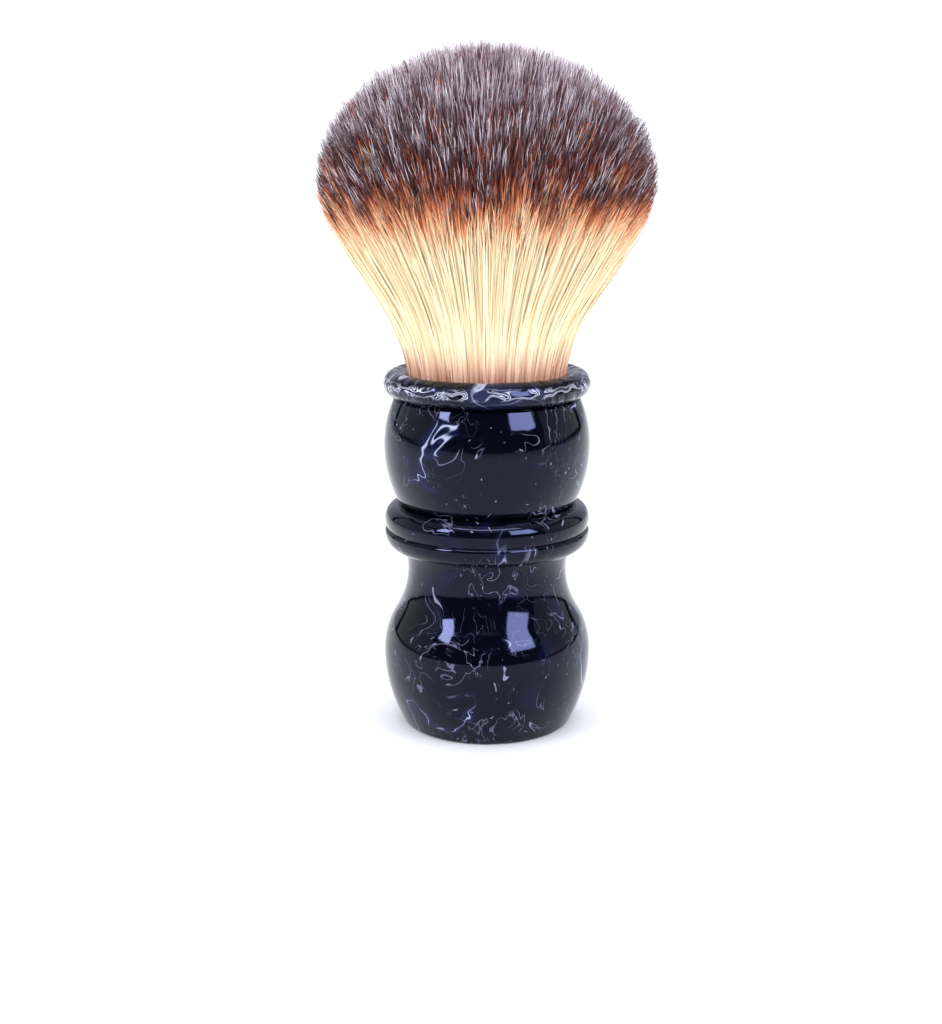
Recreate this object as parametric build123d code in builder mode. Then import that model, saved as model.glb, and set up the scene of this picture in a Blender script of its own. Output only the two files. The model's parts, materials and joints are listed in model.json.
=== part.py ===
"""Shaving brush: a turned resin handle with a bloomed synthetic fibre knot glued into its socket.

Millimetres. The origin is the centre of the handle's flat base, +Z runs up the brush's axis.
Every piece is round about that axis.
"""

import os

from build123d import *

os.makedirs("parts", exist_ok=True)

# ---------------------------------------------------------------- handle, from the base upwards
base_radius = 14.9
base_edge_radius = 0.8

lower_bulb_radius = 18.45
lower_bulb_rise = 13.3  # from the base to the widest point
waist_radius = 14.1
waist_rise = 15.0  # from the lower bulb's widest point to the narrowest
bulb_turn = 0.49  # share of the way to the waist where the outline turns from round to hollow
neck_radius = 14.9
neck_rise = 3.5  # from the narrowest point to the ring's underside

lower_bead_radius = 18.1
lower_bead_height = 3.9
lower_bead_shoulder = 0.7  # height that the bead's short upper round takes
notch_depth = 0.45  # between the two beads, below the lower one
upper_bead_radius = 18.05
upper_bead_height = 4.3
upper_bead_round = 2.5  # height that the bead's long upper round takes

gap_radius = 15.1  # bottom of the groove between the ring and the upper bulb
gap_height = 0.8

upper_bulb_radius = 18.05
upper_bulb_rise = 9.5  # from the groove to the widest point
upper_bulb_fall = 8.2  # from the widest point to the groove under the lip
bulb_corner_gap = 0.8  # how far the bulb's ends stand off the bottoms of their grooves

lip_groove_radius = 15.5
lip_groove_height = 0.5
lip_radius = 18.0
lip_rise = 2.2  # from the groove to the widest point
lip_round = 2.25  # height of the round from there to the crest
lip_crest_radius = 15.7
lip_dish = 0.6  # how far the lip falls from its crest to the mouth

# ---------------------------------------------------------------- knot and its socket
knot_ring_diameter = 26.0  # the knot's trade size
knot_ring_wall = 0.9
knot_ring_height = 11.0
knot_set_depth = 5.0  # from the socket's mouth down to the ring's top
glue_film = 0.35  # epoxy between the ring and the socket's wall
glue_bed_thickness = 1.2  # epoxy under the ring
socket_point_radius = 1.6  # dimple that the boring tool's point leaves
socket_point_depth = 1.0
mouth_edge_radius = 0.4

glue_plug_height = 6.5
thread_diameter = 0.5
thread_turns = 5
bundle_fit = 0.05  # fibre bundle to the hard pieces round it

# ---------------------------------------------------------------- fibre bundle above the socket
bloom_radius = 29.8
bloom_rise = 33.3  # from the socket's mouth to the widest point
dome_height = 23.0
dome_shoulder = 0.83  # radius of the dome's shoulder, as a share of its height
flare_low_radius = 16.0
flare_low_rise = 9.8
flare_high_radius = 21.5
flare_high_rise = 19.5

# ---------------------------------------------------------------- bending of the bundle
root_pivot_drop = 0.2  # the first bend's centre, below the socket's mouth
root_ball_radius = 18.4
tip_pivot_rise = 12.0  # the second bend's centre, above the first
tip_ball_radius = 22.0
flex_gap = 0.3  # between the ball-shaped faces that slide on each other

# ---------------------------------------------------------------- heights that follow from these
bulb_z = lower_bulb_rise
waist_z = bulb_z + waist_rise
ring_foot_z = waist_z + neck_rise
notch_z = ring_foot_z + lower_bead_height
upper_bead_top_z = notch_z + upper_bead_height
upper_bulb_foot_z = upper_bead_top_z + gap_height
upper_bulb_z = upper_bulb_foot_z + upper_bulb_rise
upper_bulb_top_z = upper_bulb_z + upper_bulb_fall
lip_foot_z = upper_bulb_top_z + lip_groove_height
lip_z = lip_foot_z + lip_rise
lip_crest_z = lip_z + lip_round
mouth_z = lip_crest_z - lip_dish

ring_outer_radius = knot_ring_diameter / 2
ring_inner_radius = ring_outer_radius - knot_ring_wall
socket_radius = ring_outer_radius + glue_film
ring_top_z = mouth_z - knot_set_depth
ring_foot_z_in_socket = ring_top_z - knot_ring_height
socket_floor_z = ring_foot_z_in_socket - glue_bed_thickness
plug_top_z = ring_foot_z_in_socket + glue_plug_height

bundle_neck_radius = ring_inner_radius - bundle_fit
bundle_mouth_radius = socket_radius - bundle_fit
thread_foot_z = ring_top_z + thread_diameter / 2
thread_top_z = thread_foot_z + thread_turns * thread_diameter
thread_inner_radius = bundle_neck_radius + bundle_fit

bloom_z = mouth_z + bloom_rise
dome_z = bloom_z + dome_height
shoulder_radius = dome_shoulder * dome_height
shoulder_centre = bloom_radius - shoulder_radius
crown_radius = (shoulder_centre**2 + dome_height**2 - shoulder_radius**2) / 2
crown_radius /= dome_height - shoulder_radius
root_pivot_z = mouth_z - root_pivot_drop
tip_pivot_z = root_pivot_z + tip_pivot_rise

DOWN = (0, -1)
UP = (0, 1)

# ---------------------------------------------------------------- handle
with BuildPart() as handle:
    with BuildSketch(Plane.XZ):
        with BuildLine() as handle_outline:
            bulb_turn_point = (
                lower_bulb_radius + bulb_turn * (waist_radius - lower_bulb_radius),
                bulb_z + bulb_turn * waist_rise,
            )
            notch_point = (lower_bead_radius - notch_depth, notch_z)
            lower_bead_point = (lower_bead_radius, notch_z - lower_bead_shoulder)
            upper_bead_point = (upper_bead_radius, upper_bead_top_z - upper_bead_round)
            upper_bulb_foot = (gap_radius + bulb_corner_gap, upper_bulb_foot_z)
            upper_bulb_top = (lip_groove_radius + bulb_corner_gap, upper_bulb_top_z)

            Line((0, 0), (base_radius, 0))
            TangentArc((lower_bulb_radius, bulb_z), (base_radius, 0), tangent=DOWN)
            TangentArc((lower_bulb_radius, bulb_z), bulb_turn_point, tangent=UP)
            TangentArc((waist_radius, waist_z), bulb_turn_point, tangent=DOWN)
            TangentArc((waist_radius, waist_z), (neck_radius, ring_foot_z), tangent=UP)
            TangentArc(lower_bead_point, (neck_radius, ring_foot_z), tangent=DOWN)
            TangentArc(lower_bead_point, notch_point, tangent=UP)
            TangentArc(upper_bead_point, notch_point, tangent=DOWN)
            TangentArc(upper_bead_point, (gap_radius, upper_bead_top_z), tangent=UP)
            Line((gap_radius, upper_bead_top_z), upper_bulb_foot)
            TangentArc((upper_bulb_radius, upper_bulb_z), upper_bulb_foot, tangent=DOWN)
            TangentArc((upper_bulb_radius, upper_bulb_z), upper_bulb_top, tangent=UP)
            Line(upper_bulb_top, (lip_groove_radius, lip_foot_z))
            TangentArc((lip_radius, lip_z), (lip_groove_radius, lip_foot_z), tangent=DOWN)
            TangentArc((lip_radius, lip_z), (lip_crest_radius, lip_crest_z), tangent=UP)
            Line((lip_crest_radius, lip_crest_z), (socket_radius, mouth_z))
            Line((socket_radius, mouth_z), (0, mouth_z))
            Line((0, mouth_z), (0, 0))
        make_face()
    revolve(axis=Axis.Z)
    with Locations((0, 0, mouth_z)):
        Hole(radius=socket_radius, depth=mouth_z - socket_floor_z)
    with BuildSketch(Plane.XZ):
        with BuildLine():
            Polyline(
                (0, socket_floor_z),
                (socket_point_radius, socket_floor_z),
                (0, socket_floor_z - socket_point_depth),
                close=True,
            )
        make_face()
    revolve(axis=Axis.Z, mode=Mode.SUBTRACT)
    base_edge = handle.edges().filter_by(GeomType.CIRCLE).sort_by(Axis.Z)[0]
    fillet(base_edge, base_edge_radius)
    mouth_edge = handle.edges().filter_by(GeomType.CIRCLE).filter_by_position(Axis.Z, mouth_z, mouth_z)
    fillet(mouth_edge, mouth_edge_radius)
handle.part.label = "handle"
export_step(handle.part, "parts/handle.step")

# ---------------------------------------------------------------- cured epoxy between knot and socket
with BuildPart() as epoxy_bed:
    with BuildSketch(Plane.XZ):
        with BuildLine():
            Polyline(
                (0, socket_floor_z - socket_point_depth),
                (socket_point_radius, socket_floor_z),
                (socket_radius, socket_floor_z),
                (socket_radius, ring_top_z),
                (ring_outer_radius, ring_top_z),
                (ring_outer_radius, ring_foot_z_in_socket),
                (0, ring_foot_z_in_socket),
                close=True,
            )
        make_face()
    revolve(axis=Axis.Z)
epoxy_bed.part.label = "epoxy_bed"
export_step(epoxy_bed.part, "parts/epoxy_bed.step")

# ---------------------------------------------------------------- plastic ring round the knot's foot
with BuildPart() as knot_ring:
    with BuildSketch(Plane.XY.offset(ring_foot_z_in_socket)):
        Circle(ring_outer_radius)
        Circle(ring_inner_radius, mode=Mode.SUBTRACT)
    extrude(amount=knot_ring_height)
knot_ring.part.label = "knot_ring"
export_step(knot_ring.part, "parts/knot_ring.step")

# ---------------------------------------------------------------- potting resin that holds the fibre butts
with BuildPart() as glue_plug:
    with BuildSketch(Plane.XY.offset(ring_foot_z_in_socket)):
        Circle(ring_inner_radius)
    extrude(amount=glue_plug_height)
glue_plug.part.label = "glue_plug"
export_step(glue_plug.part, "parts/glue_plug.step")

# ---------------------------------------------------------------- thread wound round the bundle, turn on turn
with BuildPart() as binding_thread:
    with BuildSketch(Plane.XZ):
        with BuildLine():
            thread_radius = thread_diameter / 2
            for turn in range(thread_turns):
                low = (thread_inner_radius + thread_radius, thread_foot_z + turn * thread_diameter)
                high = (low[0], low[1] + thread_diameter)
                ThreePointArc(low, (low[0] + thread_radius, low[1] + thread_radius), high)
            Polyline(
                (thread_inner_radius + thread_radius, thread_top_z),
                (thread_inner_radius, thread_top_z),
                (thread_inner_radius, thread_foot_z),
                (thread_inner_radius + thread_radius, thread_foot_z),
            )
        make_face()
    revolve(axis=Axis.Z)
binding_thread.part.label = "binding_thread"
export_step(binding_thread.part, "parts/binding_thread.step")



# ---------------------------------------------------------------- half section of the whole fibre bundle
with BuildSketch() as bundle_section:
    with BuildLine():
        crown_slope = crown_radius / (crown_radius - shoulder_radius)
        shoulder_end = (
            crown_slope * shoulder_centre,
            dome_z - crown_radius + crown_slope * (crown_radius - dome_height),
        )
        Polyline(
            (0, plug_top_z),
            (bundle_neck_radius, plug_top_z),
            (bundle_neck_radius, thread_top_z),
            (bundle_mouth_radius, mouth_z - mouth_edge_radius),
            (bundle_mouth_radius, mouth_z),
        )
        Spline(
            (bundle_mouth_radius, mouth_z),
            (flare_low_radius, mouth_z + flare_low_rise),
            (flare_high_radius, mouth_z + flare_high_rise),
            (bloom_radius, bloom_z),
            tangents=(UP, UP),
        )
        TangentArc((bloom_radius, bloom_z), shoulder_end, tangent=UP)
        TangentArc((0, dome_z), shoulder_end, tangent=(1, 0))
        Line((0, dome_z), (0, plug_top_z))
    make_face()

# ---------------------------------------------------------------- fibres held still by the socket
with BuildPart() as fibre_roots:
    with BuildSketch(Plane.XZ):
        add(bundle_section.sketch)
        with Locations((0, root_pivot_z)):
            Circle(root_ball_radius, mode=Mode.INTERSECT)
    revolve(axis=Axis.Z)
fibre_roots.part.label = "fibre_roots"
export_step(fibre_roots.part, "parts/fibre_roots.step")

# ---------------------------------------------------------------- fibres that bend about the mouth
with BuildPart() as fibre_shafts:
    with BuildSketch(Plane.XZ):
        add(bundle_section.sketch)
        with Locations((0, tip_pivot_z)):
            Circle(tip_ball_radius, mode=Mode.INTERSECT)
        with Locations((0, root_pivot_z)):
            Circle(root_ball_radius + flex_gap, mode=Mode.SUBTRACT)
    revolve(axis=Axis.Z)
fibre_shafts.part.label = "fibre_shafts"
export_step(fibre_shafts.part, "parts/fibre_shafts.step")

# ---------------------------------------------------------------- fibres that bend again half-way up
with BuildPart() as fibre_tips:
    with BuildSketch(Plane.XZ):
        add(bundle_section.sketch)
        with Locations((0, tip_pivot_z)):
            Circle(tip_ball_radius + flex_gap, mode=Mode.SUBTRACT)
            Rectangle(
                2 * bloom_radius,
                dome_z - tip_pivot_z,
                align=(Align.CENTER, Align.MIN),
                mode=Mode.INTERSECT,
            )
    revolve(axis=Axis.Z)
fibre_tips.part.label = "fibre_tips"
export_step(fibre_tips.part, "parts/fibre_tips.step")
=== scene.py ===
import json
import math

import bpy
import numpy as np
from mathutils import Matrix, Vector, kdtree


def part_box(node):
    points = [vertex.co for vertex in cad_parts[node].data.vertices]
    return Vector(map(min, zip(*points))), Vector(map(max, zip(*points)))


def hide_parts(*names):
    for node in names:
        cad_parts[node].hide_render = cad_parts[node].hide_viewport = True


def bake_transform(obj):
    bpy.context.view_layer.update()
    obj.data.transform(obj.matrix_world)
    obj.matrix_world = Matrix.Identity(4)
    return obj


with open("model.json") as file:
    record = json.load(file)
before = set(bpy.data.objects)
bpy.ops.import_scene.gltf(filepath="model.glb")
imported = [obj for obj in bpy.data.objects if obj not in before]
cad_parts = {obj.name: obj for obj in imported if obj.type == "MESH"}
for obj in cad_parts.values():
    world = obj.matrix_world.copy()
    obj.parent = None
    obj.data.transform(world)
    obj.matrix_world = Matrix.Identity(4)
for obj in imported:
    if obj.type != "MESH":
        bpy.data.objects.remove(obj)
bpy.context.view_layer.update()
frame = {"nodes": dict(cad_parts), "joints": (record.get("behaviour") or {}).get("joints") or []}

MM = 0.001
rng = np.random.default_rng(11)

# Heights and radii read from the frame, in mm.
tip_pivot_z = frame["joints"][1]["pos_m"][2] / MM
lip_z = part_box("handle")[1].z / MM
dome_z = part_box("fibre_tips")[1].z / MM
bloom_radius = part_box("fibre_tips")[1].x / MM
fibre_points = np.array([v.co for v in frame["nodes"]["fibre_tips"].data.vertices]) / MM
bloom_z = float(fibre_points[np.hypot(fibre_points[:, 0], fibre_points[:, 1]).argmax(), 2])
dome_height = dome_z - bloom_z


# ---------------------------------------------------------------- node helpers
def add(tree, kind, inputs=(), **settings):
    """A new node with its settings and inputs; an input that is a socket is linked."""
    made = tree.nodes.new(kind)
    for key, value in settings.items():
        setattr(made, key, value)
    for key, value in dict(inputs).items():
        if isinstance(value, bpy.types.NodeSocket):
            tree.links.new(value, made.inputs[key])
        else:
            made.inputs[key].default_value = value
    return made


def calc(tree, operation, *values):
    """The result of a Math node."""
    return add(tree, "ShaderNodeMath", dict(enumerate(values)), operation=operation).outputs[0]


def vector(tree, operation, *values):
    """The result of a Vector Math node."""
    made = add(tree, "ShaderNodeVectorMath", dict(enumerate(values)), operation=operation)
    return made.outputs[0]


def step(tree, value, low, high, to_low=0.0, to_high=1.0):
    """value eased from to_low at low to to_high at high."""
    inputs = {"Value": value, 1: low, 2: high, 3: to_low, 4: to_high}
    return add(tree, "ShaderNodeMapRange", inputs, interpolation_type="SMOOTHSTEP").outputs[0]


def window(tree, value, low, high, soft):
    """1 between low and high, eased over soft at both ends."""
    rise = step(tree, value, low - soft, low + soft)
    fall = step(tree, value, high - soft, high + soft, 1.0, 0.0)
    return calc(tree, "MULTIPLY", rise, fall)


def noise(tree, place, scale, detail=2.0, roughness=0.5):
    """A noise texture's grey value at a place."""
    inputs = {"Vector": place, "Scale": scale, "Detail": detail, "Roughness": roughness}
    return add(tree, "ShaderNodeTexNoise", inputs).outputs[0]


def blend_colour(tree, share, first, second, kind="MIX"):
    """first where share is 0, second where it is 1."""
    made = add(tree, "ShaderNodeMix", data_type="RGBA", blend_type=kind)
    for key, value in {0: share, 6: first, 7: second}.items():
        if isinstance(value, bpy.types.NodeSocket):
            tree.links.new(value, made.inputs[key])
        else:
            made.inputs[key].default_value = value
    return made.outputs[2]


def ramp(tree, value, stops):
    """A colour ramp with (position, colour) stops."""
    made = add(tree, "ShaderNodeValToRGB", {0: value})
    elements = made.color_ramp.elements
    while len(elements) < len(stops):
        elements.new(0.5)
    for element, (position, colour) in zip(elements, stops):
        element.position = position
        element.color = (*colour, 1.0)
    return made.outputs[0]


def material(name):
    """A new material with its node tree and its Principled shader."""
    made = bpy.data.materials.new(name)
    made.use_nodes = True
    return made, made.node_tree, made.node_tree.nodes["Principled BSDF"]


def millimetres(tree):
    """Object coordinates in mm."""
    place = add(tree, "ShaderNodeTexCoord").outputs["Object"]
    scaled = add(tree, "ShaderNodeVectorMath", {0: place, "Scale": 1 / MM}, operation="SCALE")
    return scaled.outputs[0]


def moved(tree, place, offset, stretch=(1.0, 1.0, 1.0)):
    """place, stretched and then offset."""
    return vector(tree, "MULTIPLY_ADD", place, stretch, offset)


def warped(tree, place, scale, amount, offset):
    """place pushed about by a noise of that scale, by up to about half of amount."""
    source = moved(tree, place, offset)
    inputs = {"Vector": source, "Scale": scale, "Detail": 1.0}
    push = add(tree, "ShaderNodeTexNoise", inputs).outputs["Color"]
    centred = vector(tree, "SUBTRACT", push, (0.5, 0.5, 0.5))
    return vector(tree, "MULTIPLY_ADD", centred, (amount,) * 3, place)


def ridge(tree, value, level, width):
    """1 on the line where value is level, falling to 0 at width on either side."""
    away = calc(tree, "ABSOLUTE", calc(tree, "SUBTRACT", value, level))
    return step(tree, away, 0.0, width, 1.0, 0.0)


# ---------------------------------------------------------------- resin of the handle
def resin_material():
    """Near-black navy cast resin with lavender and white veins, polished."""
    made, tree, shader = material("resin_navy_marble")
    place = millimetres(tree)
    flow = warped(tree, place, 0.07, 26.0, (3.0, 11.0, 5.0))
    curl = warped(tree, flow, 0.24, 5.0, (17.0, 2.0, 9.0))

    # Long veins: contour lines of a slow noise with a milky glow beside them, kept only in some areas.
    broad = noise(tree, moved(tree, curl, (7.0, 1.0, 4.0), (1.0, 1.0, 0.6)), 0.055, 1.0, 0.4)
    away = calc(tree, "ABSOLUTE", calc(tree, "SUBTRACT", broad, 0.5))
    vary = noise(tree, moved(tree, place, (1.0, 5.0, 8.0)), 0.21, 1.0)
    thickness = step(tree, vary, 0.42, 0.72, 0.0025, 0.012)
    line = calc(tree, "SUBTRACT", 1.0, calc(tree, "DIVIDE", away, thickness))
    area = step(tree, noise(tree, moved(tree, flow, (40.0, 8.0, 3.0)), 0.075, 1.0), 0.46, 0.58)
    vein = calc(tree, "MULTIPLY", calc(tree, "MAXIMUM", line, 0.0), area)
    glow = calc(tree, "MULTIPLY", step(tree, away, 0.0, 0.035, 1.0, 0.0), area)

    # Fine veins in clusters, drawn out along the casting.
    fine = noise(tree, moved(tree, curl, (5.0, 31.0, 2.0), (1.0, 1.0, 0.45)), 0.26, 1.0, 0.5)
    cluster = step(tree, noise(tree, moved(tree, place, (9.0, 4.0, 60.0)), 0.13, 1.0), 0.50, 0.62)
    thread = calc(tree, "MULTIPLY", ridge(tree, fine, 0.5, 0.016), cluster)
    wisp = noise(tree, moved(tree, flow, (15.0, 3.0, 22.0), (1.0, 1.0, 0.22)), 0.55, 1.0, 0.5)
    patchy = step(tree, noise(tree, moved(tree, place, (30.0, 14.0, 6.0)), 0.10, 1.0), 0.54, 0.64)
    wisp = calc(tree, "MULTIPLY", ridge(tree, wisp, 0.5, 0.012), patchy)

    # Specks: the crests of a quick noise.
    crest = noise(tree, moved(tree, curl, (2.0, 2.0, 2.0), (1.0, 1.0, 0.5)), 1.0, 0.0)
    speck = calc(tree, "MULTIPLY", step(tree, crest, 0.79, 0.84), 0.7)

    cloud_noise = noise(tree, moved(tree, flow, (0.0, 21.0, 13.0)), 0.11, 2.0)
    cloud = step(tree, cloud_noise, 0.57, 0.76, 0.0, 0.8)
    colour = blend_colour(tree, cloud, (0.0012, 0.0018, 0.0048, 1), (0.0035, 0.0065, 0.028, 1))
    colour = blend_colour(tree, calc(tree, "MULTIPLY", glow, 0.7), colour, (0.010, 0.016, 0.060, 1))
    colour = blend_colour(tree, calc(tree, "MULTIPLY", wisp, 0.5), colour, (0.12, 0.13, 0.20, 1))
    colour = blend_colour(tree, calc(tree, "MULTIPLY", thread, 0.7), colour, (0.16, 0.17, 0.27, 1))
    colour = blend_colour(tree, speck, colour, (0.26, 0.28, 0.42, 1))
    bright = blend_colour(tree, vein, (0.05, 0.062, 0.14, 1), (0.40, 0.43, 0.57, 1))
    colour = blend_colour(tree, step(tree, vein, 0.0, 0.5), colour, bright)

    # On the lip's belt, the thin pale loops that run round it are painted highlights: the squiggly
    # reflection of a bright strip, drawn into the base colour.
    height = add(tree, "ShaderNodeSeparateXYZ", {0: place}).outputs[2]
    highlight_belt = window(tree, height, lip_z - 2.6, lip_z - 1.1, 0.35)
    bent = warped(tree, place, 0.30, 3.0, (8.0, 1.0, 2.0))
    smear = noise(tree, moved(tree, bent, (12.0, 7.0, 1.0), (0.42, 0.42, 1.7)), 0.55, 0.0)
    pale = calc(tree, "MULTIPLY", step(tree, smear, 0.52, 0.66), highlight_belt)
    # A faint painted highlight over the belt.
    colour = blend_colour(tree, calc(tree, "MULTIPLY", pale, 0.2), colour, (0.085, 0.095, 0.18, 1))
    # Bright painted highlight loops standing in for the reflection.
    for level, strength in ((0.47, 0.8), (0.54, 1.0), (0.62, 0.9)):
        highlight_loop = calc(tree, "MULTIPLY", ridge(tree, smear, level, 0.025), highlight_belt)
        highlight_loop = calc(tree, "MULTIPLY", highlight_loop, strength)
        colour = blend_colour(tree, highlight_loop, colour, (0.66, 0.70, 0.86, 1))
    tree.links.new(colour, shader.inputs["Base Color"])

    # Polishing leaves faint waves and hairlines in the gloss.
    hairlines = noise(tree, moved(tree, place, (0.0, 0.0, 0.0), (1.0, 1.0, 6.0)), 0.8, 2.0)
    tree.links.new(step(tree, hairlines, 0.3, 0.8, 0.03, 0.09), shader.inputs["Roughness"])
    lip = step(tree, height, lip_z - 5.0, lip_z - 3.5)
    slow = calc(tree, "MULTIPLY", noise(tree, curl, 0.20, 1.0), 0.08)
    quick = calc(tree, "MULTIPLY", noise(tree, flow, 0.34, 1.0), calc(tree, "MULTIPLY", lip, 0.9))
    wave = calc(tree, "ADD", slow, quick)
    bump = add(tree, "ShaderNodeBump", {"Strength": 1.0, "Distance": 0.5 * MM, "Height": wave})
    tree.links.new(bump.outputs[0], shader.inputs["Normal"])
    shader.inputs["IOR"].default_value = 1.46
    shader.inputs["Specular Tint"].default_value = (0.33, 0.36, 0.53, 1.0)
    return made


def plain_resin(name, dark, light, scale, roughness, transmission=0.0):
    """Cast or moulded plastic: two close tones clouded together, with a finely uneven surface."""
    made, tree, shader = material(name)
    place = millimetres(tree)
    cloudy = noise(tree, place, scale, 3.0, 0.6)
    colour = blend_colour(tree, step(tree, cloudy, 0.35, 0.65), (*dark, 1), (*light, 1))
    tree.links.new(colour, shader.inputs["Base Color"])
    tree.links.new(step(tree, cloudy, 0.3, 0.7, roughness, roughness + 0.15), shader.inputs["Roughness"])
    inputs = {"Strength": 0.3, "Distance": 0.05 * MM, "Height": noise(tree, place, scale * 6, 2.0)}
    tree.links.new(add(tree, "ShaderNodeBump", inputs).outputs[0], shader.inputs["Normal"])
    shader.inputs["Transmission Weight"].default_value = transmission
    return made


def thread_material():
    """White bonded sewing thread: slanting plies round each turn, their grooves painted darker as shade.
    """
    made, tree, shader = material("binding_thread_white")
    place = millimetres(tree)
    split = add(tree, "ShaderNodeSeparateXYZ", {0: place})
    turn = calc(tree, "ARCTAN2", split.outputs[1], split.outputs[0])
    ply = calc(tree, "MULTIPLY_ADD", turn, 90.0, calc(tree, "MULTIPLY", split.outputs[2], 9.0))
    strand = calc(tree, "MULTIPLY_ADD", calc(tree, "SINE", ply), 0.5, 0.5)
    # The low side of each ply is painted darker: painted shade in the grooves.
    colour = blend_colour(tree, strand, (0.50, 0.46, 0.40, 1), (0.86, 0.83, 0.77, 1))
    tree.links.new(colour, shader.inputs["Base Color"])
    inputs = {"Strength": 0.7, "Distance": 0.08 * MM, "Height": strand}
    tree.links.new(add(tree, "ShaderNodeBump", inputs).outputs[0], shader.inputs["Normal"])
    shader.inputs["Roughness"].default_value = 0.75
    return made


def dress(node, made):
    """Puts a material on a CAD node's slots."""
    mesh = frame["nodes"][node].data
    mesh.materials.clear()
    mesh.materials.append(made)


dress("handle", resin_material())
dress("epoxy_bed", plain_resin("cured_epoxy", (0.50, 0.38, 0.16), (0.66, 0.54, 0.28), 0.35, 0.12, 0.3))
dress("knot_ring", plain_resin("ring_plastic", (0.62, 0.62, 0.60), (0.74, 0.74, 0.72), 0.6, 0.35))
dress("glue_plug", plain_resin("potting_resin", (0.42, 0.30, 0.14), (0.58, 0.45, 0.24), 0.4, 0.2, 0.2))
dress("binding_thread", thread_material())


# ---------------------------------------------------------------- fibre bundle
BUNDLE_RADIUS = 13.3     # at the mouth, mm
ROOT_Z = lip_z - 2.2     # strands start just inside the mouth
STRANDS = 26000
OUTER_STRANDS = 7000     # those that show over their whole length
LOWEST_TIP = 104.0       # degrees from the top of the dome to the lowest strand tips
LOWER_STRANDS = 6000     # the outermost of those, which alone show below the joint
CLUMPS = 3400
CLUMP_PULL = 0.26        # share of the way that a tip leans to its clump's centre, on the dome
EDGE_PULL = 0.10         # the same at the edge of the bloom
TIP_INSET = 0.4          # from the outermost tips to the bloom's radius, mm
END_LEAN = 41.0          # degrees by which the lowest tips lean out
STRAY_SHARE = 0.12
KICK_POWER = 9           # how late along its length a strand turns aside
HALF_WIDTH = 0.130       # of a strand, mm
TAPER = 8.0              # length of a strand's tapered end, mm
DYE_LENGTH = 16.0        # from the tip to the undyed part, mm
GOLDEN_ANGLE = math.pi * (3 - math.sqrt(5))
SIDES = 3


def dome_angles(count):
    """Angles from the dome's top that share its surface out evenly among the strands, and the shares."""
    angle = np.linspace(0, math.radians(LOWEST_TIP), 2000)
    radius = bloom_radius * np.sin(angle)
    arc = np.hypot(bloom_radius * np.cos(angle), dome_height * np.sin(angle))
    slices = (radius[1:] * arc[1:] + radius[:-1] * arc[:-1]) / 2
    area = np.concatenate([[0], np.cumsum(slices)])
    share = (np.arange(count) + 0.5) / count
    return np.interp(share, area / area[-1], angle), share


def gathered(radius, height, turn, strength, clumps):
    """Tips drawn part of the way to the nearest clump centre: radius, height, turn and clump number."""
    place = np.stack([radius * np.cos(turn), radius * np.sin(turn), height], 1)
    chosen = rng.choice(len(place), clumps, replace=False)
    tree = kdtree.KDTree(clumps)
    for index, k in enumerate(chosen):
        tree.insert(place[k], index)
    tree.balance()
    nearest = np.array([tree.find(p)[1] for p in place])
    target = place[chosen[nearest]]
    pull = place + (target - place) * strength[:, None]
    return np.hypot(pull[:, 0], pull[:, 1]), pull[:, 2], np.arctan2(pull[:, 1], pull[:, 0]), nearest


tip_angle, tip_share = dome_angles(STRANDS)
root_turn = np.arange(STRANDS) * GOLDEN_ANGLE + rng.normal(0, 0.01, STRANDS)
tip_radius = (bloom_radius - TIP_INSET) * np.sin(tip_angle)
tip_z = bloom_z + dome_height * np.cos(tip_angle)
# edge is 0 on the dome and 1 for the outermost strands.
edge = np.clip(tip_share * 7 - 6, 0, 1)
pull_share = CLUMP_PULL - (CLUMP_PULL - EDGE_PULL) * edge
tip_radius, tip_z, clump_turn, clump = gathered(tip_radius, tip_z, root_turn, pull_share, CLUMPS)
root_radius = BUNDLE_RADIUS * np.sqrt(tip_share)
sideways = rng.normal(0, 0.45, STRANDS) / np.maximum(tip_radius, 4.0)
turn_change = (clump_turn - root_turn + math.pi) % (2 * math.pi) - math.pi + sideways
shorter = np.clip(rng.exponential(0.9, STRANDS) + rng.normal(0, 0.4, CLUMPS)[clump], -0.7, 5.0)
shorter += 0.8 + edge * rng.uniform(0, 1, STRANDS) ** 1.5 * 8.0
lean_start = np.radians(8.0) * np.sqrt(tip_share)
lean_end = np.radians(END_LEAN) * (tip_angle / tip_angle[-1]) ** 0.9
lean_end += np.radians(rng.normal(0, 1, STRANDS)) * (6.0 - 3.0 * edge)
stray = rng.random(STRANDS) < STRAY_SHARE
lean_end += stray * np.radians(np.clip(rng.normal(3, 8, STRANDS), -5, 20))
kick = stray * rng.uniform(-0.2, 1.9, STRANDS)
kick = edge * (kick + rng.normal(0, 0.45, STRANDS))
swing = rng.normal(0, 0.8, STRANDS) / np.maximum(tip_radius, 4.0)
shorter += stray * edge * rng.uniform(0, 4.0, STRANDS)
tone = rng.random(STRANDS)
dye_shift = rng.normal(0, 1.5, CLUMPS)
spin = rng.random(STRANDS) * 2 * math.pi


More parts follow.
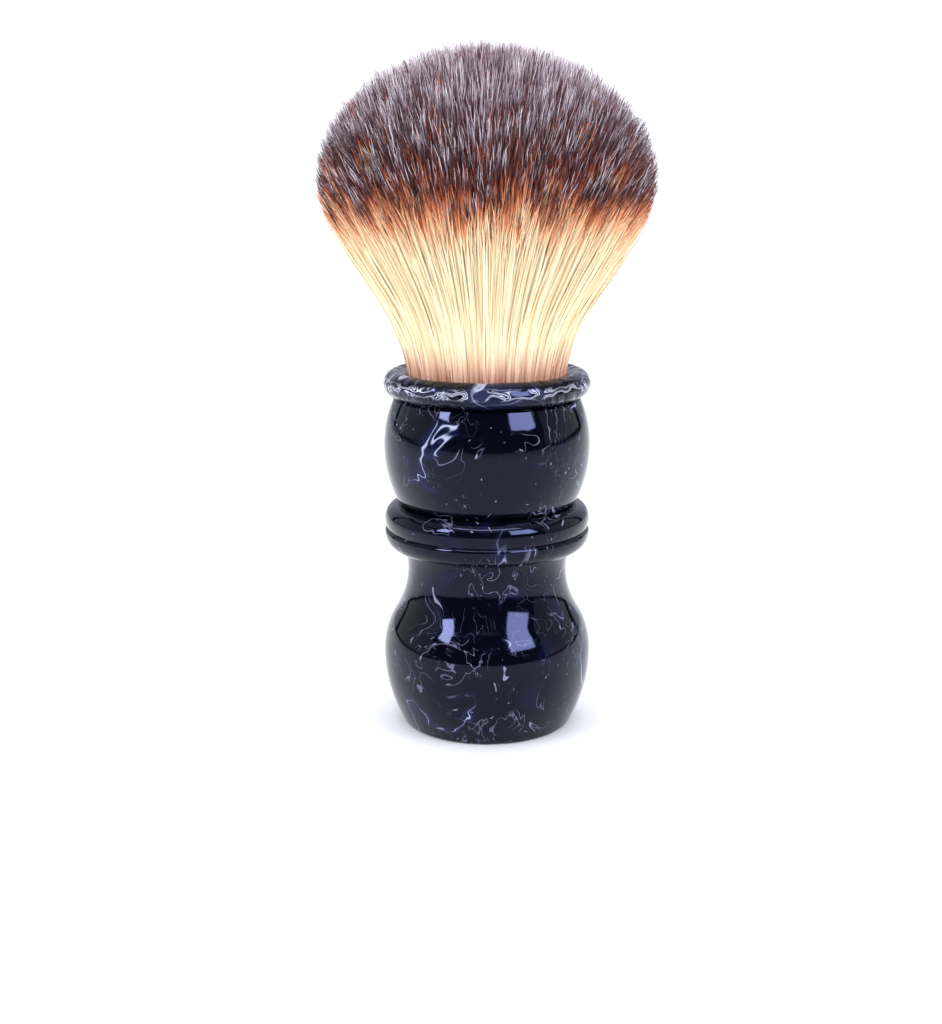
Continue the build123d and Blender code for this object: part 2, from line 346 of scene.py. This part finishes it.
def strand_points(which, share):
    """Radius, height and turn of strands at shares of their length: arrays of (strand, point)."""
    r0, z0 = root_radius[which, None], ROOT_Z
    r1, z1 = tip_radius[which, None], tip_z[which, None]
    chord = np.hypot(r1 - r0, z1 - z0)
    a, b = lean_start[which, None], lean_end[which, None]
    r1 = r1 - shorter[which, None] * np.sin(b)
    z1 = z1 - shorter[which, None] * np.cos(b)
    t = share
    start, end = 2 * t**3 - 3 * t**2 + 1, 3 * t**2 - 2 * t**3
    start_pull, end_pull = t**3 - 2 * t**2 + t, 1.2 * (t**3 - t**2)
    radius = start * r0 + end * r1 + chord * (start_pull * np.sin(a) + end_pull * np.sin(b))
    height = start * z0 + end * z1 + chord * (start_pull * np.cos(a) + end_pull * np.cos(b))
    late = t**KICK_POWER
    radius = radius + kick[which, None] * late
    turn = root_turn[which, None] + turn_change[which, None] * t**2 + swing[which, None] * late
    return radius, height, turn


def placed(radius, height, turn):
    """Points in mm from radius, height and turn."""
    return np.stack([radius * np.cos(turn), radius * np.sin(turn), height], -1)


def make_mesh(name, points, quads, values, columns):
    """A flat-shaded mesh in metres with a value per point and a UV map.

    Smooth shading of three-sided strands would draw dark lines along them.
    """
    mesh = bpy.data.meshes.new(name)
    mesh.vertices.add(len(points))
    mesh.vertices.foreach_set("co", (points * MM).astype(np.float32).ravel())
    mesh.loops.add(quads.size)
    mesh.loops.foreach_set("vertex_index", quads.astype(np.int32).ravel())
    mesh.polygons.add(len(quads))
    mesh.polygons.foreach_set("loop_start", np.arange(0, quads.size, 4, dtype=np.int32))
    mesh.update(calc_edges=True)
    mesh.shade_flat()
    for key, value in values.items():
        layer = mesh.attributes.new(key, "FLOAT", "POINT")
        layer.data.foreach_set("value", value.astype(np.float32).ravel())
    uv = mesh.uv_layers.new(name="OFBake")
    uv.data.foreach_set("uv", columns[quads.ravel()].astype(np.float32).ravel())
    made = bpy.data.objects.new(name, mesh)
    bpy.context.scene.collection.objects.link(made)
    return made


def strand_mesh(name, which, shares, total):
    """Tapered tubes along strands, from and to given shares of their length."""
    count, rings = shares.shape
    radius, height, turn = strand_points(which, shares)
    centre = placed(radius, height, turn)
    ahead = placed(*strand_points(which, shares + 0.01))
    along = ahead - centre
    along /= np.linalg.norm(along, axis=-1, keepdims=True)
    from_tip = (1 - shares) * total[:, None]
    across = np.stack([-np.sin(turn), np.cos(turn), np.zeros_like(turn)], -1)
    outward = np.cross(along, across)
    thick = HALF_WIDTH * (0.8 + 0.4 * tone[which, None])
    thick = thick * (1 + 0.8 * np.clip((from_tip - 10) / 12, 0, 1))
    half = thick * np.clip(from_tip / TAPER, 0, 1) ** 0.75 + 0.012
    corners = []
    for side in range(SIDES):
        angle = spin[which, None] + side * 2 * math.pi / SIDES
        shift = across * np.cos(angle)[..., None] + outward * np.sin(angle)[..., None]
        corners.append(centre + shift * half[..., None])
    points = np.stack(corners, 2).reshape(-1, 3)
    first = np.arange(count)[:, None, None] * rings * SIDES
    first = first + np.arange(rings - 1)[None, :, None] * SIDES
    side = np.arange(SIDES)[None, None, :]
    other = (side + 1) % SIDES
    quads = np.stack([first + side, first + other, first + SIDES + other, first + SIDES + side], -1)
    full = (count, rings, SIDES)
    # The dye follows the height of a full-length fibre, so a short one misses its pale end.
    missing = np.maximum(0, bloom_z + 1.0 - tip_z[which]) / np.cos(lean_end[which])
    offset = missing * 0.6 + shorter[which] * 0.4 + dye_shift[clump[which]]
    offset += 2.6 * (kick[which] > 0.6)
    dye = from_tip + offset[:, None]
    order = np.argsort(np.argsort(tone[which]))
    column = (order + 0.5) / count
    across_uv = (np.arange(SIDES) - 1) * 0.2 / count
    columns = np.stack([
        np.broadcast_to(column[:, None, None] + across_uv, full),
        np.broadcast_to(((np.arange(rings) + 0.5) / rings)[None, :, None], full),
    ], -1).reshape(-1, 2)
    depth = np.broadcast_to(1 - tip_share[which, None], (count, rings))
    values = {
        "from_tip": np.broadcast_to(dye[..., None], full),
        "from_mouth": np.broadcast_to((height - lip_z)[..., None], full),
        "strand_tone": np.broadcast_to(tone[which][:, None, None], full),
        "dome_share": np.broadcast_to(depth[..., None], full),
    }
    return make_mesh(name, points, quads.reshape(-1, 4), values, columns)


def fibre_material():
    """Dyed synthetic fibre: pale tip, maroon band, orange below it, cream shaft; pinkish painted shade
    at the root.
    """
    made, tree, shader = material("fibre_dyed")
    read = {}
    for key in ("from_tip", "from_mouth", "strand_tone", "dome_share"):
        read[key] = add(tree, "ShaderNodeAttribute", attribute_name=key).outputs["Fac"]
    # On the dome the dark band reaches deeper than at the flank.
    scale = step(tree, read["dome_share"], 0.12, 0.60, 1.55, 0.75)
    ragged = calc(tree, "MULTIPLY_ADD", read["strand_tone"], 4.4, -2.2)
    level = calc(tree, "MULTIPLY_ADD", calc(tree, "SUBTRACT", read["from_tip"], 1.0), scale, 1.0)
    level = calc(tree, "ADD", level, calc(tree, "MULTIPLY", ragged, step(tree, level, 1.0, 5.0)))
    colour = ramp(tree, calc(tree, "DIVIDE", level, DYE_LENGTH), [
        (0.000, (0.93, 0.88, 0.96)),
        (0.070, (0.67, 0.57, 0.67)),
        (0.150, (0.20, 0.11, 0.135)),
        (0.210, (0.10, 0.022, 0.019)),
        (0.300, (0.32, 0.064, 0.034)),
        (0.380, (0.56, 0.165, 0.080)),
        (0.480, (0.84, 0.35, 0.17)),
        (0.620, (0.93, 0.60, 0.34)),
        (0.780, (0.93, 0.77, 0.54)),
        (1.000, (0.88, 0.765, 0.52)),
    ])
    second = calc(tree, "FRACT", calc(tree, "MULTIPLY", read["strand_tone"], 17.3))
    # Painted shade: on a random share of strands the pale tip is painted dark, standing in for
    # self-shadow between bright tips. The share falls toward the dome's top, painting the top lighter as
    # if lit from above.
    dark_tips = step(tree, read["dome_share"], 0.10, 0.95, 1.0, 0.8)
    pick = calc(tree, "ADD", second, step(tree, read["dome_share"], 0.12, 0.95, -0.28, 0.12))
    few = step(tree, pick, 0.40, 0.62, 1.0, 0.0)
    painted_tip_shade = calc(tree, "MULTIPLY", few, dark_tips)
    painted_tip_shade = calc(tree, "MULTIPLY", painted_tip_shade, step(tree, level, 4.8, 3.2))
    # The chosen tips take the dark painted shade.
    colour = blend_colour(tree, painted_tip_shade, colour, (0.052, 0.014, 0.014, 1))
    # Fibres deeper in the bundle are painted tanner as the warm shade seen in the gaps between the
    # outermost.
    painted_gap_shade = step(tree, read["dome_share"], 0.03, 0.14, 0.0, 0.5)
    painted_gap_shade = calc(tree, "MULTIPLY", painted_gap_shade, step(tree, level, 8.0, 12.0))
    colour = blend_colour(tree, painted_gap_shade, colour, (0.96, 0.74, 0.47, 1))
    # Painted shade near the mouth: the fibres are darker and pinker there, more so on some strands than
    # on others.
    root = step(tree, read["from_mouth"], -0.5, 7.0, 0.95, 0.0)
    darker_root_strands = step(tree, second, 0.15, 0.35, 1.0, 0.0)
    root_colour = blend_colour(tree, darker_root_strands, (0.74, 0.46, 0.34, 1), (0.45, 0.18, 0.12, 1))
    colour = blend_colour(tree, root, colour, root_colour)
    darker = step(tree, read["strand_tone"], 0.90, 0.99, 0.0, 0.25)
    colour = blend_colour(tree, darker, colour, (0.72, 0.45, 0.26, 1), "MULTIPLY")
    tree.links.new(colour, shader.inputs["Base Color"])
    gloss = step(tree, read["strand_tone"], 0.0, 1.0, 0.30, 0.50)
    tree.links.new(gloss, shader.inputs["Roughness"])
    # The dyed ends keep a hard sheen that the cream part lacks.
    sheen = step(tree, level, 6.0, 12.0, 0.30, 0.15)
    tree.links.new(sheen, shader.inputs["Specular IOR Level"])
    return made


fibre = fibre_material()
outer = np.arange(STRANDS - OUTER_STRANDS, STRANDS)
inner = np.arange(STRANDS - OUTER_STRANDS)
sample = np.linspace(0, 1, 65)


def lengths(which):
    """Arc lengths of strands, and the share at which each crosses the joint's height."""
    radius, height, turn = strand_points(which, sample[None, :])
    points = placed(radius, height, turn)
    run = np.linalg.norm(np.diff(points, axis=1), axis=-1).sum(1)
    cross = np.array([np.interp(tip_pivot_z, h, sample) for h in height])
    return run, cross


outer_length, outer_cross = lengths(outer)
inner_length, _ = lengths(inner)
SHORT_LENGTHS = np.array([14.0, 9.0, 5.0, 2.0, 0.0])             # from the tip, mm
LONG_SHARES = np.array([0.0, 0.25, 0.5, 0.68, 0.82, 0.93, 1.0])  # from the joint to the tip
CORE_ROWS = 40
CORE_SEGMENTS = 240
CORE_SHARE = 0.80         # how far up the outermost strands the core follows them
CORE_BELOW_DOME = 8.5     # mm

lowest = outer[-LOWER_STRANDS:]
lower_shares = outer_cross[-LOWER_STRANDS:, None] * np.linspace(0, 1, 6)[None, :]
lower = strand_mesh("strands_lower", lowest, lower_shares, outer_length[-LOWER_STRANDS:])
halves = np.array_split(np.arange(OUTER_STRANDS), 2)
upper = []
for number, part in enumerate(halves):
    cross = outer_cross[part, None]
    shares = cross + (1 - cross) * LONG_SHARES[None, :]
    upper.append(strand_mesh(f"strands_flank_{number}", outer[part], shares, outer_length[part]))
for number, part in enumerate(np.array_split(np.arange(len(inner)), 3)):
    shares = 1 - SHORT_LENGTHS[None, :] / inner_length[part, None]
    upper.append(strand_mesh(f"strands_dome_{number}", inner[part], shares, inner_length[part]))


def core_material():
    """The close-packed fibres under the outer ones, seen only in the gaps, coloured partly as the shade
    in them.
    """
    made, tree, shader = material("fibre_core")
    place = millimetres(tree)
    split = add(tree, "ShaderNodeSeparateXYZ", {0: place})
    turn = calc(tree, "ARCTAN2", split.outputs[1], split.outputs[0])
    cell = add(tree, "ShaderNodeCombineXYZ", {
        0: calc(tree, "MULTIPLY", calc(tree, "COSINE", turn), 14.0),
        1: calc(tree, "MULTIPLY", calc(tree, "SINE", turn), 14.0),
        2: calc(tree, "MULTIPLY", split.outputs[2], 0.12),
    })
    streak = noise(tree, cell.outputs[0], 2.2, 2.0, 0.6)
    height = calc(tree, "DIVIDE", calc(tree, "SUBTRACT", split.outputs[2], lip_z), dome_z - lip_z)
    # The bands follow the dye by height, but the top is painted darker than the dye and the foot
    # pink-brown: painted shade of the deep gaps and of the mouth.
    banded = ramp(tree, calc(tree, "MULTIPLY_ADD", streak, 0.06, height), [
        (0.00, (0.60, 0.34, 0.24)),
        (0.14, (0.98, 0.78, 0.50)),
        (0.36, (0.98, 0.74, 0.44)),
        (0.42, (0.60, 0.26, 0.10)),
        (0.48, (0.16, 0.04, 0.02)),
        (0.58, (0.045, 0.012, 0.012)),
        (1.00, (0.03, 0.010, 0.014)),
    ])
    # Streaks are painted darker where their bump is low: painted shade in the grooves.
    shade = step(tree, streak, 0.35, 0.65, 0.8, 1.0)
    grey = add(tree, "ShaderNodeCombineColor", {0: shade, 1: shade, 2: shade}).outputs[0]
    colour = blend_colour(tree, 1.0, banded, grey, "MULTIPLY")
    tree.links.new(colour, shader.inputs["Base Color"])
    inputs = {"Strength": 0.8, "Distance": 0.3 * MM, "Height": streak}
    tree.links.new(add(tree, "ShaderNodeBump", inputs).outputs[0], shader.inputs["Normal"])
    shader.inputs["Roughness"].default_value = 0.7
    return made


def core_profile(below, count):
    """Points (radius, height) a little inside the outermost strands, ending on a lower dome."""
    radius, height, _ = strand_points(outer[-400:], np.linspace(0, CORE_SHARE, count)[None, :])
    inset = 0.15 + 1.2 * np.linspace(0, 1, count) ** 5
    side = np.stack([radius.mean(0) - inset, height.mean(0)], 1)
    top = np.linspace(0, math.pi / 2, count)[1:]
    cap_radius, cap_z = side[-1]
    cap = np.stack([cap_radius * np.cos(top), cap_z + (dome_z - below - cap_z) * np.sin(top)], 1)
    return np.concatenate([side, cap])


def core_mesh(name, profile, segments):
    """A surface of revolution with shallow flutes."""
    turn = np.arange(segments) * 2 * math.pi / segments
    flute = 1 + 0.005 * np.sin(turn * 36) + 0.004 * np.sin(turn * 23 + 1)
    radius = profile[:, 0, None] * flute[None, :]
    points = placed(radius, np.broadcast_to(profile[:, 1, None], radius.shape), turn[None, :])
    row = np.arange(len(profile) - 1)[:, None] * segments
    here = np.arange(segments)[None, :]
    after = (here + 1) % segments
    quads = np.stack([row + here, row + after, row + segments + after, row + segments + here], -1)
    rise = np.linspace(0, 1, len(profile))[:, None]
    columns = np.stack(np.broadcast_arrays(here / segments, rise), -1).reshape(-1, 2)
    made = make_mesh(name, points.reshape(-1, 3), quads.reshape(-1, 4), {}, columns)
    made.data.shade_smooth()
    return made


profile = core_profile(CORE_BELOW_DOME, CORE_ROWS)
split_radius = float(np.interp(tip_pivot_z, profile[:CORE_ROWS, 1], profile[:CORE_ROWS, 0]))
joint_point = np.array([[split_radius, tip_pivot_z]])
under = np.concatenate([profile[profile[:, 1] < tip_pivot_z], joint_point])
over = np.concatenate([joint_point, profile[profile[:, 1] > tip_pivot_z]])
core_lower = core_mesh("core_lower", under, CORE_SEGMENTS)
core_upper = core_mesh("core_upper", over, CORE_SEGMENTS)
core = core_material()

for piece in (lower, core_lower):
    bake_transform(piece)
for piece in (*upper, core_upper):
    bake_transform(piece)
for piece in (lower, *upper):
    piece.data.materials.append(fibre)
for piece in (core_lower, core_upper):
    piece.data.materials.append(core)
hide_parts("fibre_roots", "fibre_shafts")
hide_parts("fibre_tips")


# ---------------------------------------------------------------- floor, light and camera
def floor():
    """A plain white table top."""
    reach = 1.5
    corners = [(-reach, -reach, 0), (reach, -reach, 0), (reach, reach, 0), (-reach, reach, 0)]
    mesh = bpy.data.meshes.new("floor")
    mesh.from_pydata(corners, [], [(0, 1, 2, 3)])
    made = bpy.data.objects.new("floor", mesh)
    bpy.context.scene.collection.objects.link(made)
    paper, tree, shader = material("floor_white")
    grain = noise(tree, millimetres(tree), 0.5, 2.0)
    shade = blend_colour(tree, grain, (0.83, 0.84, 0.88, 1), (0.86, 0.87, 0.91, 1))
    tree.links.new(shade, shader.inputs["Base Color"])
    shader.inputs["Roughness"].default_value = 0.9
    shader.inputs["Specular IOR Level"].default_value = 0.0
    mesh.materials.append(paper)
    return made


def studio():
    """White surround with a dark camera side, grey side screens and three soft boxes."""
    world = bpy.data.worlds.new("studio")
    bpy.context.scene.world = world
    world.use_nodes = True
    tree = world.node_tree
    ground = tree.nodes["Background"]
    direction = add(tree, "ShaderNodeTexCoord").outputs["Generated"]
    split = add(tree, "ShaderNodeSeparateXYZ", {0: direction})
    x, y, z = split.outputs
    # Degrees above the horizon, and degrees to the right of the side that faces the camera.
    rise = calc(tree, "DEGREES", calc(tree, "ARCSINE", z))
    side = calc(tree, "DEGREES", calc(tree, "ARCTAN2", x, calc(tree, "MULTIPLY", y, -1.0)))

    def patch(sides, rises, soft):
        """1 inside a patch of the surround, given in degrees."""
        across = window(tree, side, *sides, soft)
        return calc(tree, "MULTIPLY", across, window(tree, rise, *rises, soft))

    white, black = (0.63, 0.65, 0.76, 1), (0.004, 0.005, 0.008, 1)
    screen = (0.62, 0.70, 0.66, 1)
    sky = blend_colour(tree, patch((-132, 132), (-1, 42), 1.2), white, black)
    sky = blend_colour(tree, patch((-126, -67), (1.5, 36), 1.0), sky, screen)
    sky = blend_colour(tree, patch((67, 126), (1.5, 36), 1.0), sky, screen)
    sky = blend_colour(tree, patch((-62, -47), (26, 46), 0.8), sky, (26.0, 27.0, 36.0, 1))
    sky = blend_colour(tree, patch((28, 58), (18, 46), 1.5), sky, (14.0, 15.0, 22.0, 1))
    sky = blend_colour(tree, patch((-60, 60), (58, 66), 1.5), sky, (11.0, 11.5, 14.0, 1))
    tree.links.new(sky, ground.inputs["Color"])
    ground.inputs["Strength"].default_value = 1.0
    # Only reflections show the screens and boxes; all else is lit by, and seen against, even white.
    even = add(tree, "ShaderNodeBackground", {"Color": (0.98, 0.99, 1.03, 1), "Strength": 1.3})
    mirrored = add(tree, "ShaderNodeLightPath").outputs["Is Glossy Ray"]
    both = add(tree, "ShaderNodeMixShader", {0: mirrored, 1: even.outputs[0], 2: ground.outputs[0]})
    tree.links.new(both.outputs[0], tree.nodes["World Output"].inputs["Surface"])


def soft_light(name, place, aim, size, power):
    """A square area light that reflections don't show; the studio's own soft boxes do that."""
    data = bpy.data.lights.new(name, "AREA")
    data.size, data.energy = size, power
    made = bpy.data.objects.new(name, data)
    bpy.context.scene.collection.objects.link(made)
    made.location = place
    made.rotation_euler = (Vector(aim) - Vector(place)).to_track_quat("-Z", "Y").to_euler()
    made.visible_glossy = False


floor()
studio()
middle = (0, 0, 0.07)
soft_light("light_left", (-0.45, -0.30, 0.35), middle, 0.30, 1.1)
soft_light("light_right", (0.45, -0.30, 0.35), middle, 0.30, 1.1)
soft_light("light_front", (0.05, -0.60, 0.22), middle, 0.35, 0.4)
soft_light("light_top", (0.0, 0.10, 0.60), middle, 0.40, 1.2)

camera = bpy.data.objects.new("camera", bpy.data.cameras.new("camera"))
bpy.context.scene.collection.objects.link(camera)
camera.location = (0.0, -0.280, 0.1054)
CAMERA_TILT = 13.54  # degrees down
camera.rotation_euler = (math.radians(90 - CAMERA_TILT), 0, 0)
camera.data.lens = 57.23
camera.data.sensor_width = 36.0
camera.data.shift_x = -16 / 1024
camera.data.clip_start = 0.01
bpy.context.scene.camera = camera
bpy.context.scene.view_settings.view_transform = "Standard"
